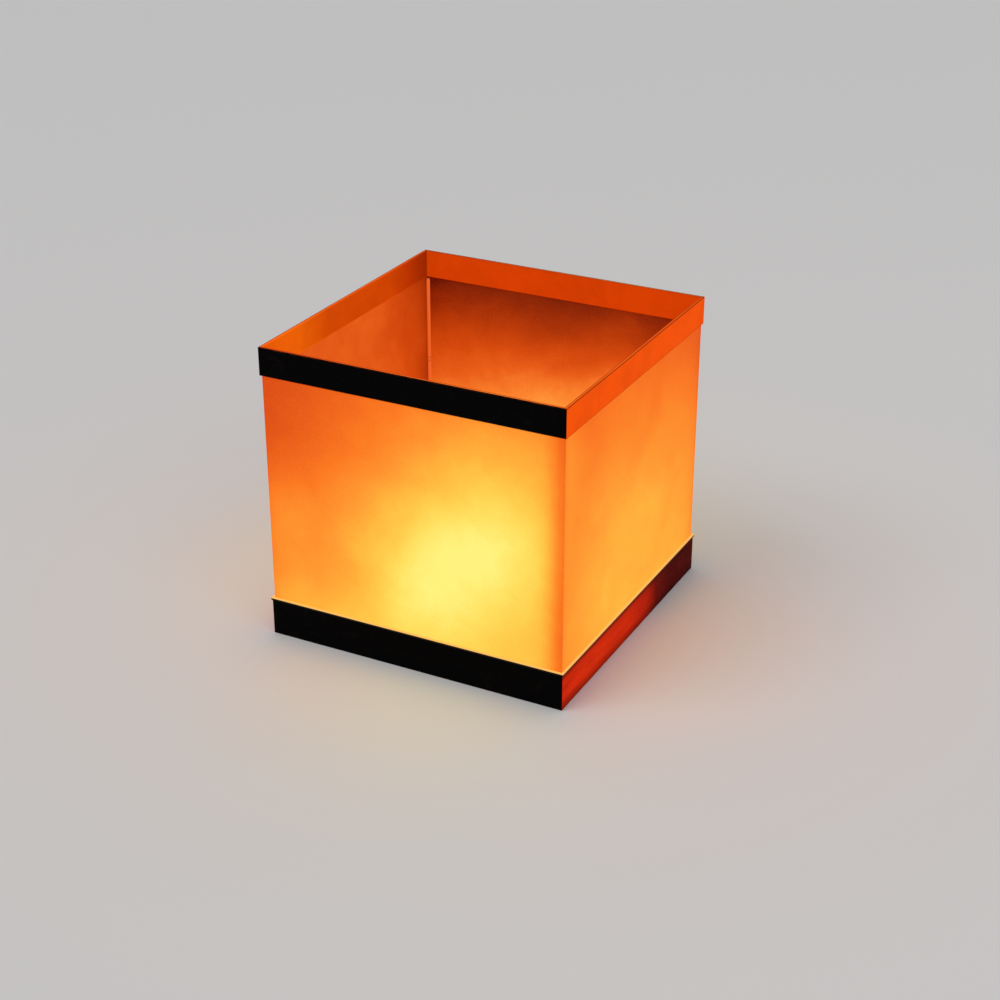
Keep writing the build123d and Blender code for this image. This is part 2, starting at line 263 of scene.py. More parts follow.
# How each wall's outside shines: its brightest spot (along the wall and up), how far the glow
# reaches to the left, right, up and down of it, and how much the spot leans to the upper right.
# floor is the glow far from the spot, peak what the spot adds, and foot what the deck adds below.
# patches are softer spots of their own: along, up, width, height and what they add. far_edge is
# how much dimmer the wall is at its right-hand edge.
OUTSIDE = {
    "front": dict(
        spot=(0.028, 0.064), left=0.092, right=0.098, up=0.096, down=0.086,
        lean=0.34, floor=-0.22, peak=1.13, foot=0.27,
        patches=(
            (0.004, 0.036, 0.024, 0.016, 0.07), (0.044, 0.082, 0.020, 0.020, 0.06),
            (-0.070, 0.062, 0.018, 0.028, 0.13), (-0.026, 0.030, 0.018, 0.018, -0.05),
            (-0.064, 0.022, 0.026, 0.012, 0.08), (0.067, 0.023, 0.010, 0.012, 0.06),
        ),
    ),
    "right": dict(
        spot=(-0.008, 0.060), left=0.135, right=0.300, up=0.082, down=0.300,
        lean=-0.35, floor=-0.04, peak=0.60, foot=0.10, far_edge=0.13,
        patches=((-0.072, 0.122, 0.012, 0.034, 0.12), (-0.040, 0.044, 0.030, 0.022, 0.07)),
    ),
    "back": dict(
        spot=(-0.012, 0.060), left=0.105, right=0.100, up=0.098, down=0.090,
        lean=-0.20, floor=-0.20, peak=1.06, foot=0.26,
    ),
    "left": dict(
        spot=(0.010, 0.058), left=0.150, right=0.160, up=0.090, down=0.200,
        lean=0.20, floor=-0.08, peak=0.78, foot=0.14,
    ),
}


def glow_outside(side, along, height):
    """How brightly a wall's outside shines. along runs left to right, seen from outside."""
    wall = OUTSIDE[side]
    across = along - wall["spot"][0]
    across /= wall["left"] if across < 0 else wall["right"]
    rise = height - wall["spot"][1]
    rise /= wall["down"] if rise < 0 else wall["up"]
    distance = math.sqrt(max(across * across + rise * rise - 2 * wall["lean"] * across * rise, 0))
    glow = wall["floor"] + wall["peak"] * math.exp(-(distance ** 1.5))
    glow += wall["foot"] * math.exp(-(height - deck_top) / 0.040)
    for spot_along, spot_height, width, rise, extra in wall.get("patches", ()):
        far = ((along - spot_along) / width) ** 2 + ((height - spot_height) / rise) ** 2
        glow += extra * math.exp(-far)
    glow -= wall.get("far_edge", 0) * math.exp(-(paper_outer - along) / 0.013)
    return max(glow, -0.05)


def corner_shade(side, along):
    """How much the posts' painted shadows next to the corners, and on the front the glue tab, dim the
    paper, from 0 to 1.
    """
    right_edge = paper_outer - along
    left_edge = paper_outer + along
    # painted shadows of the corner posts next to the folds, on every wall
    shade = 0.10 * math.exp(-((left_edge / 0.0022) ** 2))
    if side == "front":
        # the glue tab's double paper, behind the front wall's right-hand end
        shade += 0.20 / (1 + math.exp((right_edge - 0.0082) / 0.0022))
        # painted shadow of the front right post, deepest at the fold
        shade += 0.42 * math.exp(-((right_edge / 0.0050) ** 2))
        return shade
    return shade + 0.10 * math.exp(-((right_edge / 0.0022) ** 2))


def glow_inside(side, along, height):
    """How brightly a wall's inside shines. along runs left to right, seen from outside."""
    below_rim = max(rim_bottom - height, 0)
    to_left = paper_outer + along
    to_right = paper_outer - along
    if side == "back":
        # darkest under the strip, and brightest low down, towards the right wall
        glow = 0.07 + min(0.0108 * below_rim / MM, 0.66)
        glow -= 0.07 * along / paper_outer
        glow += 0.25 * math.exp(-(((along + 0.042) / 0.017) ** 2) - ((height - 0.088) / 0.015) ** 2)
        glow += 0.07 * math.exp(-(((along + 0.006) / 0.024) ** 2) - ((height - 0.086) / 0.012) ** 2)
        return glow - 0.16 * math.exp(-to_left / 0.018) - 0.05 * math.exp(-to_right / 0.010)
    if side == "left":
        glow = 0.48 + min(0.0012 * below_rim / MM, 0.30) + 0.07 * along / paper_outer
        return glow - 0.24 * math.exp(-to_left / 0.016)
    glow = 0.34 + min(0.0050 * below_rim / MM, 0.45)
    return glow - 0.14 * math.exp(-min(to_left, to_right) / 0.014)


# The colours of the glow, from dim to bright
OUTSIDE_STOPS = (
    (0.00, (219, 76, 15)),
    (0.15, (238, 99, 25)),
    (0.30, (252, 122, 33)),
    (0.46, (255, 148, 46)),
    (0.62, (255, 178, 60)),
    (0.76, (255, 204, 76)),
    (0.88, (255, 224, 96)),
    (1.00, (255, 243, 126)),
)
INSIDE_STOPS = (
    (0.00, (108, 27, 2)),
    (0.14, (150, 43, 5)),
    (0.28, (186, 60, 9)),
    (0.42, (214, 76, 15)),
    (0.53, (232, 95, 26)),
    (0.63, (247, 124, 42)),
    (0.72, (255, 150, 58)),
    (1.00, (255, 212, 108)),
)


def glow_stops(stops, reflected):
    """Stops for a ramp: the colours that show, less the light that the paper reflects anyway."""
    made = []
    for position, color in stops:
        shown = linear(*color)
        made.append((position, tuple(max(c - r, 0.0004) for c, r in zip(shown, reflected)) + (1,)))
    return made


def paper_look(name, attribute, pigment, stops, mottle):
    """Lit paper: the glow stored on the mesh, made uneven by clouds, fibres and pulp."""
    look = Look(name, pigment, roughness=0.85, Specular_IOR_Level=0.08)
    sheet_place = look.place(uv=True)
    clouds = look.noise(0.042, detail=3, rough=0.5, place=sheet_place, distortion=0.5)
    patches = look.noise(0.011, detail=3, rough=0.55, place=sheet_place, distortion=0.8)
    # long fibres: thin ridges of a stretched, bent noise
    fibre_place = look.place(scale=(1.0, 0.22, 1), uv=True)
    fibres = look.noise(0.0022, detail=2, rough=0.5, place=fibre_place, distortion=2.5)
    ridge = look.math("ABSOLUTE", look.math("SUBTRACT", fibres, 0.5))
    fibre = look.spread(ridge, 0.0, 0.035, 1.0, 0.0)
    pulp = look.noise(0.0011, detail=2, rough=0.6, place=sheet_place)
    glow = look.attribute(attribute)
    for pattern, middle, amount in (
        (clouds, 0.5, 0.20), (patches, 0.5, 0.085), (fibre, 0.2, -0.014), (pulp, 0.5, 0.035),
    ):
        glow = look.math("MULTIPLY_ADD", look.math("SUBTRACT", pattern, middle), amount * mottle, glow)
    look.glow(look.ramp(glow, stops))
    look.set("Base Color", look.scale(pigment, look.spread(pulp, 0.3, 0.7, 0.85, 1.15)))
    look.set("Roughness", look.spread(patches, 0.3, 0.7, 0.78, 0.92))
    look.bump(look.math("MULTIPLY_ADD", fibre, 0.35, pulp), 0.00012, 0.6)
    return look


def outside_paper_look():
    """The paper's outer face."""
    stops = glow_stops(OUTSIDE_STOPS, (0.08, 0.028, 0.006))
    return paper_look("paper_outside", "glow_outside", (0.13, 0.045, 0.009), stops, 1.0)


def inside_paper_look():
    """The paper's inner face."""
    stops = glow_stops(INSIDE_STOPS, (0.07, 0.011, 0.0016))
    return paper_look("paper_inside", "glow_inside", (0.10, 0.026, 0.004), stops, 1.1)


FOLD_RADIUS = 0.6 * MM
FOLD_STEPS = 4
SHEET_STEP = 2.5 * MM


def sheet_path():
    """The sheet's middle line, seen from above: (point, outward normal, side) from the glue tab,
    round the right, back and left walls, to the front wall's right-hand end."""
    middle = paper_middle
    tab_line = middle - paper_thickness
    corners = [(middle, -tab_line), (middle, middle), (-middle, middle), (-middle, -middle)]
    start = (middle - tab_width, -tab_line)
    end = (paper_outer, -middle)
    points = [start] + corners + [end]
    names = ["tab", "right", "back", "left", "front"]
    path = []
    for index, side in enumerate(names):
        first = Vector(points[index])
        last = Vector(points[index + 1])
        direction = (last - first).normalized()
        normal = Vector((direction.y, -direction.x))
        if index > 0:
            first += direction * FOLD_RADIUS
        if index < len(names) - 1:
            last -= direction * FOLD_RADIUS
        length = (last - first).length
        count = max(2, round(length / SHEET_STEP))
        for k in range(count + 1):
            path.append((first + direction * (length * k / count), normal.copy(), side))
        if index < len(names) - 1:
            turned = Vector(points[index + 2]) - Vector(points[index + 1])
            turned.normalize()
            centre = last + turned * FOLD_RADIUS
            next_normal = Vector((turned.y, -turned.x))
            for k in range(1, FOLD_STEPS):
                turn = k / FOLD_STEPS * math.pi / 2
                out = normal * math.cos(turn) + next_normal * math.sin(turn)
                wall = side if turn < math.pi / 4 else names[index + 1]
                path.append((centre + out * FOLD_RADIUS, out, wall))
    return path


def along_wall(side, point):
    """The distance left to right from a wall's middle, seen from outside."""
    along = {
        "front": point.x, "tab": point.x,
        "right": point.y, "back": -point.x, "left": -point.y,
    }
    return along[side]


PAPER_BULGE = 0.34 * MM


def paper_bulge(along, height):
    """How far the hand-made sheet stands off its flat wall: nothing at the rim, deck and corners."""
    low = max((height - deck_top) / 0.012, 0)
    top = max((rim_bottom - height) / 0.012, 0)
    side = max((paper_outer - abs(along)) / 0.010, 0)
    hold = min(low, 1) * min(top, 1) * min(side, 1)
    wave = noise.noise(Vector((along * 16, height * 18, 3.1))) * 0.9
    wave += noise.noise(Vector((along * 45, height * 38, 7.7))) * 0.25
    return hold * PAPER_BULGE * wave


PAPER_ROWS = 56
RIM_ROWS = 5
TAB_TOP = rim_bottom - 0.2 * MM  # the glue tab ends just under the inner strips
TAB_DIMMING = 0.8


def paper_heights():
    """The heights of the sheet's rows, with two close to the rim's lower edge."""
    heights = [deck_top + (rim_bottom - deck_top) * k / PAPER_ROWS for k in range(PAPER_ROWS)]
    heights += [TAB_TOP, rim_bottom + 0.2 * MM]
    rim_height = shade_top - rim_bottom
    return heights + [rim_bottom + rim_height * k / RIM_ROWS for k in range(1, RIM_ROWS + 1)]


def paper_points(path, heights):
    """Column by column: each point's place, sheet coordinates, and glow outside and inside."""
    points = []
    travelled = 0.0
    previous = path[0][0]
    for point, normal, side in path:
        travelled += (point - previous).length
        previous = point
        wall = "front" if side == "tab" else side
        along = along_wall(side, point)
        shown = 1 - corner_shade(wall, along)
        for height in heights:
            out = 0.0 if side == "tab" else paper_bulge(along + 0.3 * SIDES.index(wall), height)
            place = point + normal * out
            inside = glow_inside(wall, along, height) * (TAB_DIMMING if side == "tab" else 1.0)
            points.append((
                (place.x, place.y, height), (travelled, height),
                glow_outside(wall, along, height) * shown, inside,
            ))
    return points, travelled


def paper_faces(path, heights):
    """The sheet's faces, without the part of the tab that would lie behind the inner strips."""
    rows = len(heights)
    faces = []
    for column in range(len(path) - 1):
        on_tab = "tab" in (path[column][2], path[column + 1][2])
        for k in range(rows - 1):
            if on_tab and heights[k] >= TAB_TOP - 1e-9:
                continue
            corner = column * rows + k
            faces.append((corner, corner + rows, corner + rows + 1, corner + 1))
    return faces


def make_paper():
    """The folded sheet, one piece with its glue tab, as thick as the CAD panels."""
    path = sheet_path()
    heights = paper_heights()
    points, travelled = paper_points(path, heights)
    faces = paper_faces(path, heights)
    used = sorted({corner for face in faces for corner in face})
    renumber = {old: new for new, old in enumerate(used)}
    places, uvs, outside, inside = zip(*(points[v] for v in used))
    faces = [[renumber[corner] for corner in face] for face in faces]
    paper = build_mesh("paper_sleeve", places, faces, [True] * len(faces), outside_paper_look())
    mesh = paper.data
    mesh.materials.append(inside_paper_look().material)
    layer = mesh.uv_layers.new(name="sheet")
    for loop in mesh.loops:
        layer.data[loop.index].uv = uvs[loop.vertex_index]
    for name, values in (("glow_outside", outside), ("glow_inside", inside)):
        mesh.attributes.new(name, "FLOAT", "POINT").data.foreach_set("value", values)
    solid = paper.modifiers.new("thickness", "SOLIDIFY")
    solid.thickness = paper_thickness
    solid.offset = 0
    solid.use_even_offset = True
    solid.material_offset = 1
    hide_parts("paper_front", "paper_right", "paper_back", "paper_left")
    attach(paper, "shade")


# ---------------------------------------------------------------- card strips and base boards


def wall_point(side, out, along, height):
    """A point by its distance out from the middle, and left to right along a wall from outside."""
    return {
        "front": (along, -out, height),
        "right": (out, along, height),
        "back": (-along, out, height),
        "left": (-out, -along, height),
    }[side]


def band_section(thickness, low, high, rounding):
    """A bar's rounded cross-section, as (depth, height), and whether the next side is rounded."""
    section = []
    middles = (
        (rounding, low + rounding, 180), (thickness - rounding, low + rounding, 270),
        (thickness - rounding, high - rounding, 0), (rounding, high - rounding, 90),
    )
    for depth, height, turn in middles:
        for step in range(4):
            angle = math.radians(turn + step * 30)
            point = (depth + rounding * math.cos(angle), height + rounding * math.sin(angle))
            section.append((*point, step < 3))
    return section


BAND_STATIONS = 48
CARD_ROUNDING = 0.15 * MM
CARD_WAVE = 0.14 * MM
BOARD_ROUNDING = 0.35 * MM
HELD_ENDS = 0.12  # the share of a strip at each end over which its wave dies away


def make_band(node, body, look, rounding, wave):
    """A mitred strip or board with rounded edges, which replaces its CAD node."""
    side = node.rsplit("_", 1)[1]
    low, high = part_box(node)
    flat = side in ("front", "back")
    thickness = high.y - low.y if flat else high.x - low.x
    outer = max(abs(low.y), abs(high.y)) if flat else max(abs(low.x), abs(high.x))
    section = band_section(thickness, low.z, high.z, rounding)
    vertices = []
    for k in range(BAND_STATIONS + 1):
        share = 2 * k / BAND_STATIONS - 1
        hold = min((1 - abs(share)) / HELD_ENDS, 1)
        for depth, height, _ in section:
            place = Vector((share * outer * 22, height * 30, len(node) + SIDES.index(side)))
            out = outer - depth + wave * hold * abs(noise.noise(place))
            vertices.append(wall_point(side, out, share * (outer - depth), height))
    faces = tube_faces(BAND_STATIONS + 1, len(section))
    smooth = [rounded for _, _, rounded in section] * BAND_STATIONS + [False, False]
    band = build_mesh(node + "_band", vertices, faces, smooth, look)
    band.data.validate()
    fix_normals(band.data)
    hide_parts(node)
    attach(band, body)
    return band


def fix_normals(mesh):
    """Turns every face outwards."""
    shape = bmesh.new()
    shape.from_mesh(mesh)
    bmesh.ops.recalc_face_normals(shape, faces=shape.faces)
    shape.to_mesh(mesh)
    shape.free()


def edge_distance(look, low, high):
    """The distance to the nearer of a strip's two long edges, in metres."""
    height = look.axis("Z")
    to_low = look.math("SUBTRACT", height, low)
    to_high = look.math("SUBTRACT", high, height)
    return look.math("MINIMUM", to_low, to_high)


def black_card_look(name, low, high, wear_and_glow_amount):
    """Black card. Just inside its long edges its colour wears thin, and there a warm glow is painted on
    as well.
    """
    look = Look(name, (0.002, 0.0016, 0.0016), roughness=0.7, Specular_IOR_Level=0.03)
    grain = look.noise(0.0009, detail=4, rough=0.65)
    fibres = look.noise(0.0010, detail=3, rough=0.6, place=look.place(scale=(0.25, 0.25, 1.5)))
    scuffs = look.noise(0.012, detail=5, rough=0.7, distortion=0.6)
    scuffed = look.spread(scuffs, 0.55, 0.75)
    color = look.mix(scuffed, (0.0012, 0.0009, 0.0009, 1), (0.0048, 0.0032, 0.0028, 1))
    away = edge_distance(look, low, high)
    inner = look.spread(away, 0.00022, 0.00038, 1.0, 0.0)
    line = look.math("MULTIPLY", inner, look.spread(away, 0.00003, 0.00010))
    broken = look.math("MULTIPLY", line, look.spread(fibres, 0.42, 0.60, 0.15, 1.0))
    # this edge line is partly wear and partly painted light: it lightens the colour and glows warm
    wear_and_edge_glow = look.math("MULTIPLY", broken, wear_and_glow_amount)
    look.set("Base Color", look.mix(wear_and_edge_glow, color, linear(110, 44, 16)))
    look.set("Roughness", look.spread(grain, 0.3, 0.7, 0.55, 0.85))
    look.glow(look.scale(linear(196, 74, 14), wear_and_edge_glow))
    look.bump(look.math("MULTIPLY_ADD", fibres, 0.6, grain), 0.00007, 0.5)
    return look


def orange_card_look(name, low, high, stops, half, shine, edge_light_scale):
    """Dyed card that the lamp shines through. stops run along Y, from the front to the back."""
    look = Look(name, linear(*stops[0][1]), roughness=0.7, Specular_IOR_Level=0.02)
    along = look.spread(look.axis("Y"), -half, half, smooth=False)
    paint = look.ramp(along, [(place, linear(*color)) for place, color in stops])
    cloud = look.noise(0.016, detail=4, rough=0.6, distortion=0.4)
    grain = look.noise(0.0009, detail=4, rough=0.65)
    fibres = look.noise(0.0018, detail=3, rough=0.6, place=look.place(scale=(0.3, 0.3, 1.4)))
    depth = look.spread(cloud, 0.32, 0.68, 0.94, 1.04)
    depth = look.math("MULTIPLY_ADD", look.math("SUBTRACT", fibres, 0.5), 0.10, depth)
    # near the long edges the paint and its glow are scaled: below 1 a darker line, above 1 a painted
    # line of light
    edge = look.spread(edge_distance(look, low, high), 0.00010, 0.00045, edge_light_scale, 1.0)
    paint = look.scale(paint, look.math("MULTIPLY", depth, edge))
    look.set("Base Color", look.scale(paint, 0.26))
    look.set("Roughness", look.spread(grain, 0.3, 0.7, 0.6, 0.85))
    look.glow(look.scale(paint, shine))
    look.bump(look.math("MULTIPLY_ADD", fibres, 0.6, grain), 0.00007, 0.5)
    return look


def orange_board_look():
    """The side boards: lit at the front, in shadow at the back, at the foot and under the deck."""
    look = Look("orange_board", linear(120, 20, 4), roughness=0.6, Specular_IOR_Level=0.02)
    along = look.spread(look.axis("Y"), -half_plan, half_plan, smooth=False)
    stops = (
        (0.00, (196, 34, 3)), (0.14, (208, 42, 4)), (0.46, (204, 39, 4)),
        (0.60, (176, 28, 4)), (0.69, (92, 8, 2)), (0.80, (58, 2, 2)), (1.00, (52, 2, 2)),
    )
    wander = look.noise(0.020, detail=3, rough=0.6)
    along = look.math("MULTIPLY_ADD", look.math("SUBTRACT", wander, 0.5), 0.10, along)
    paint = look.ramp(along, [(place, linear(*color)) for place, color in stops])
    grain = look.noise(0.0012, detail=4, rough=0.65)
    lengthways = look.place(scale=(0.12, 0.12, 1.0))
    wood = look.noise(0.0030, detail=4, rough=0.6, place=lengthways, distortion=0.4)
    height = look.axis("Z")
    shade = look.spread(height, 0.0, 0.0065, 0.34, 1.0)
    under_deck = look.spread(height, board_top - 0.0034, board_top - 0.0004, 1.0, 0.30)
    shade = look.math("MULTIPLY", shade, under_deck)
    shade = look.math("MULTIPLY", shade, look.spread(wood, 0.3, 0.7, 0.86, 1.08))
    paint = look.scale(paint, shade)
    dark_dye = (0.040, 0.0020, 0.0006, 1)
    light_dye = (0.062, 0.0032, 0.0010, 1)
    look.set("Base Color", look.mix(look.spread(wood, 0.3, 0.7), dark_dye, light_dye))
    look.set("Roughness", look.spread(grain, 0.3, 0.7, 0.5, 0.75))
    look.glow(look.scale(paint, 0.94))
    look.bump(look.math("MULTIPLY_ADD", wood, 0.8, grain), 0.00010, 0.5)
    return look


def make_bands():
    """Both rows of card strips round the rim, and the boards round the base."""
    rim = (rim_bottom, shade_top)
    # each strip's stops are the glow painted on it: even outside, dimmer inside, and on the left inside
    # brighter at the front
    even_outside = ((0.0, (243, 82, 3)), (1.0, (241, 81, 3)))
    even_inside = ((0.0, (216, 66, 2)), (1.0, (216, 66, 2)))
    brighter_in_front = (
        (0.00, (232, 94, 7)), (0.20, (240, 103, 8)), (0.38, (214, 76, 4)),
        (0.75, (210, 71, 2)), (0.86, (188, 55, 2)), (1.00, (152, 40, 1)),
    )
    black = black_card_look("black_card", *rim, 0.12)
    orange = orange_card_look("orange_card", *rim, even_outside, half_plan, 0.84, 0.45)
    inner = orange_card_look("orange_card_inside", *rim, even_inside, half_plan, 0.76, 0.85)
    inner_left = orange_card_look(
        "orange_card_inside_left", *rim, brighter_in_front, half_plan, 0.78, 1.25
    )
    black_board = black_card_look("black_board", 0.0, board_top, 0.06)
    orange_board = orange_board_look()
    for side in SIDES:
        dye = "black" if side in ("front", "back") else "orange"
        card, wood = (black, black_board) if dye == "black" else (orange, orange_board)
        lining = inner_left if side == "left" else inner
        outer_strip = make_band(f"rim_outer_{side}", "shade", card, CARD_ROUNDING, CARD_WAVE)
        inner_strip = make_band(f"rim_inner_{side}", "shade", lining, CARD_ROUNDING, 0.0)
        board = make_band(f"base_board_{side}", "float_base", wood, BOARD_ROUNDING, 0.0)


# ---------------------------------------------------------------- float


def from_axis(look):
    """The distance from the light's upright axis, in metres."""
    flat = look.node("ShaderNodeVectorMath", operation="LENGTH")
    look.plug(flat.inputs[0], look.place(scale=(1, 1, 0)))
    return flat.outputs["Value"]


def lamplight(look, color, near, far, strong, weak):
    """Warm light of the lens on the piece: strong at the distance near from the axis, weak at far."""
    amount = look.spread(from_axis(look), near, far, strong, weak)
    look.glow(look.scale(linear(*color), amount))


def deck_look():
    """A frosted sheet, lit from above: bright near the lamp, with edges in the boards' dye and with
    their painted glow.
    """
    look = Look("deck_sheet", linear(150, 96, 50), roughness=0.5, Specular_IOR_Level=0.15)
    split_x = look.math("ABSOLUTE", look.axis("X"))
    split_y = look.math("ABSOLUTE", look.axis("Y"))
    cloud = look.noise(0.016, detail=4, rough=0.6, distortion=0.5)
    grain = look.noise(0.0007, detail=3)
    wisps = look.math("MULTIPLY", look.math("SUBTRACT", cloud, 0.5), 0.020)
    reach = look.math("ADD", from_axis(look), wisps)
    lit = look.ramp(look.spread(reach, 0.022, 0.104, smooth=False), (
        (0.00, linear(255, 222, 128)), (0.18, linear(255, 190, 86)),
        (0.45, linear(250, 152, 54)), (0.75, linear(232, 112, 34)), (1.00, linear(206, 80, 20)),
    ))
    # the ledge outside the paper catches the glow; below it the edge takes the boards' dye, and a
    # painted glow like theirs
    out = look.math("MAXIMUM", split_x, split_y)
    ledge = look.spread(out, paper_outer - 0.0002, paper_outer, 0.0, 1.0)
    lit = look.mix(ledge, lit, linear(255, 196, 96))
    top = look.spread(look.axis("Z"), deck_top - 0.00045, deck_top - 0.00025, 0.0, 1.0)
    edge_dye_and_glow = look.mix(look.math("GREATER_THAN", split_x, split_y), linear(9, 3, 2), linear(96, 12, 4))
    look.glow(look.mix(top, look.scale(edge_dye_and_glow, 0.6), look.scale(lit, 0.78)))
    look.set("Base Color", look.mix(top, look.scale(edge_dye_and_glow, 0.4), linear(150, 104, 62)))
    look.set("Roughness", look.spread(grain, 0.3, 0.7, 0.42, 0.62))
    look.bump(grain, 0.00005, 0.5)
    return look


BEAD_SIZE = 3.2 * MM


def foam_look():
    """Moulded foam beads, pressed together."""
    look = Look("foam", linear(232, 229, 222), roughness=0.85, Specular_IOR_Level=0.3)
    beads = look.node("ShaderNodeTexVoronoi", feature="DISTANCE_TO_EDGE")
    look.plug(beads.inputs["Vector"], look.place())
    beads.inputs["Scale"].default_value = 1 / BEAD_SIZE
    each = look.node("ShaderNodeTexVoronoi", feature="F1")
    look.plug(each.inputs["Vector"], look.place())
    each.inputs["Scale"].default_value = 1 / BEAD_SIZE
    seam = look.spread(beads.outputs["Distance"], 0.0, 0.10, 0.0, 1.0)
    fine = look.noise(0.0006, detail=3)
    tone = look.mix(look.spread(fine, 0.3, 0.7), linear(226, 222, 214), linear(240, 238, 232))
    # painted shade: each bead darker towards its rim, the seams between beads darker still
    tone = look.mix(look.math("MULTIPLY", each.outputs["Distance"], 0.5), tone, linear(214, 208, 198))
    look.set("Base Color", look.mix(seam, linear(196, 190, 180), tone))
    look.set("Roughness", look.spread(fine, 0.3, 0.7, 0.78, 0.95))
    look.bump(look.math("MULTIPLY_ADD", fine, 0.12, seam), 0.0003, 0.7)
    return look


def bamboo_look():
    """Split bamboo with darker joints, lit on the side that faces the lamp."""
    look = Look("bamboo", linear(196, 138, 78), roughness=0.5, Specular_IOR_Level=0.2)
    streaks = look.noise(0.0005, detail=3, rough=0.6, place=look.place(scale=(1, 1, 0.02)))
    stain = look.noise(0.012, detail=3, rough=0.6)
    tone = look.mix(look.spread(streaks, 0.3, 0.7), linear(158, 98, 46), linear(206, 150, 88))
    tone = look.mix(look.spread(stain, 0.45, 0.75, 0.0, 0.45), tone, linear(140, 86, 42))
    joint = look.attribute("joint")
    tone = look.mix(joint, tone, linear(104, 60, 28))
    look.set("Base Color", look.scale(tone, 0.35))
    look.set("Roughness", look.spread(streaks, 0.3, 0.7, 0.38, 0.62))
    lit = look.math("SUBTRACT", 1.0, look.math("MULTIPLY", joint, 0.5))
    lit = look.math("MULTIPLY", lit, look.spread(look.axis("Z"), 0.014, 0.024, 0.05, 1.0))
    facing_lamp = post_axis - post_radius * 0.7
    facing_out = post_axis + post_radius * 0.5
    turned = look.spread(from_axis(look), facing_lamp, facing_out, 1.0, 0.30)
    lit = look.math("MULTIPLY", lit, turned)
    look.glow(look.scale(linear(222, 88, 34), lit))
    look.bump(streaks, 0.00008, 0.6)
    return look


# where each post's two joints are, as shares of its length
POST_JOINTS = ((0.36, 0.78), (0.52, 0.90), (0.30, 0.66), (0.44, 0.84))
POST_ROWS = 150
POST_SIDES = 20
JOINT_SWELL = 0.10 * MM
JOINT_REACH = 0.7 * MM
TIP_LENGTH = 0.4 * MM
POST_BOW = 0.22 * MM


def make_post(corner, look, number):
    """A thin bamboo stick, a little uneven, with two joints, in place of its CAD node."""
    node = f"corner_post_{corner}"
    low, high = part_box(node)
    centre = (low + high) / 2
    radius = (high.x - low.x) / 2
    joints = [low.z + (high.z - low.z) * share for share in POST_JOINTS[number]]
    vertices = []
    joint_values = []
    for k in range(POST_ROWS + 1):
        height = low.z + (high.z - low.z) * k / POST_ROWS
        nearest = min(abs(height - joint) for joint in joints)
        swell = JOINT_SWELL * math.exp(-((nearest / JOINT_REACH) ** 2))
        tip = min(height - low.z, high.z - height) / TIP_LENGTH
        around = radius * (0.985 - 0.02 * noise.noise(Vector((number, height * 60, 0.5)))) + swell
        around *= 0.72 + 0.28 * min(tip, 1)
        hold = min(max(height - board_top - 0.004, 0) / 0.03, max(high.z - height, 0) / 0.03, 1)
        bow = POST_BOW * hold * noise.noise(Vector((number * 3.3, height * 14, 9.2)))
        mark = math.exp(-(((nearest - 0.0006) / 0.0003) ** 2))
        for i in range(POST_SIDES):
            angle = 2 * math.pi * i / POST_SIDES
            x = centre.x + bow + around * math.cos(angle)
            y = centre.y - bow + around * math.sin(angle)
            vertices.append((x, y, height))
            joint_values.append(mark)
    faces = tube_faces(POST_ROWS + 1, POST_SIDES)
    smooth = [len(face) == 4 for face in faces]
    post = build_mesh(node + "_bamboo", vertices, faces, smooth, look)
    post.data.attributes.new("joint", "FLOAT", "POINT").data.foreach_set("value", joint_values)
    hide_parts(node)
    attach(post, "float_base")


def moulded_look(name, color, roughness, grime, tone=1.0):
    """Moulded plastic with a fine spark-eroded grain and a little dirt in patches."""
    look = Look(name, linear(*color), roughness=roughness, Specular_IOR_Level=0.35)
    grain = look.noise(0.0004, detail=3, rough=0.6)
    flow = look.noise(0.010, detail=3, rough=0.5, distortion=1.2)
    dirt = look.noise(0.004, detail=5, rough=0.7)
    clean = look.mix(look.spread(flow, 0.3, 0.7), linear(*(c * 0.96 for c in color)), linear(*color))
    dull = linear(*(c * 0.72 for c in color))
    color = look.mix(look.spread(dirt, 0.55, 0.80, 0.0, grime), clean, dull)
    look.set("Base Color", look.scale(color, tone))
    rough = look.math("MULTIPLY_ADD", dirt, 0.5, grain)
    look.set("Roughness", look.spread(rough, 0.5, 1.0, roughness - 0.07, roughness + 0.12))
    look.bump(grain, 0.00003, 0.5)
    return look


def cup_look():
    """Ivory plastic, warmer where the lens lights the cup's flange."""
    look = moulded_look("cup_plastic", (240, 228, 204), 0.42, 0.25, tone=0.5)
    lamplight(look, (255, 190, 98), 0.019, 0.0245, 0.46, 0.66)
    return look


def dress_float():
    """The deck, the foam, the cup and the four posts."""
    dress("deck_plate", deck_look())
    dress("float_block", foam_look())
    dress("lamp_cup", cup_look())
    bamboo = bamboo_look()
    for number, corner in enumerate(("front_left", "front_right", "back_left", "back_right")):
        make_post(corner, bamboo, number)


# ---------------------------------------------------------------- lamp


def lens_look():
    """Frosted plastic over the LED: nearly white low down, amber at the flame's tip."""
    look = Look("frosted_lens", linear(255, 226, 170), roughness=0.48, Specular_IOR_Level=0.4)
    rise = look.spread(look.axis("Z"), lens_low.z, lens_high.z, smooth=False)
    veins = look.noise(0.006, detail=3, rough=0.5, place=look.place(scale=(1, 1, 0.35)), distortion=0.8)
    rise = look.math("MULTIPLY_ADD", look.math("SUBTRACT", veins, 0.5), 0.14, rise)
    light = look.ramp(rise, (
        (0.16, linear(255, 196, 96)), (0.36, linear(255, 236, 170)),
        (0.58, linear(255, 216, 122)), (0.80, linear(255, 170, 66)), (1.00, linear(246, 124, 36)),
    ))
    frost = look.noise(0.0003, detail=2)
    look.glow(light, 1.05)
    frosted = look.mix(look.spread(frost, 0.3, 0.7), linear(150, 118, 72), linear(176, 142, 92))
    look.set("Base Color", frosted)
    look.set("Roughness", look.spread(frost, 0.3, 0.7, 0.34, 0.54))
    look.bump(frost, 0.00003, 0.6)
    return look


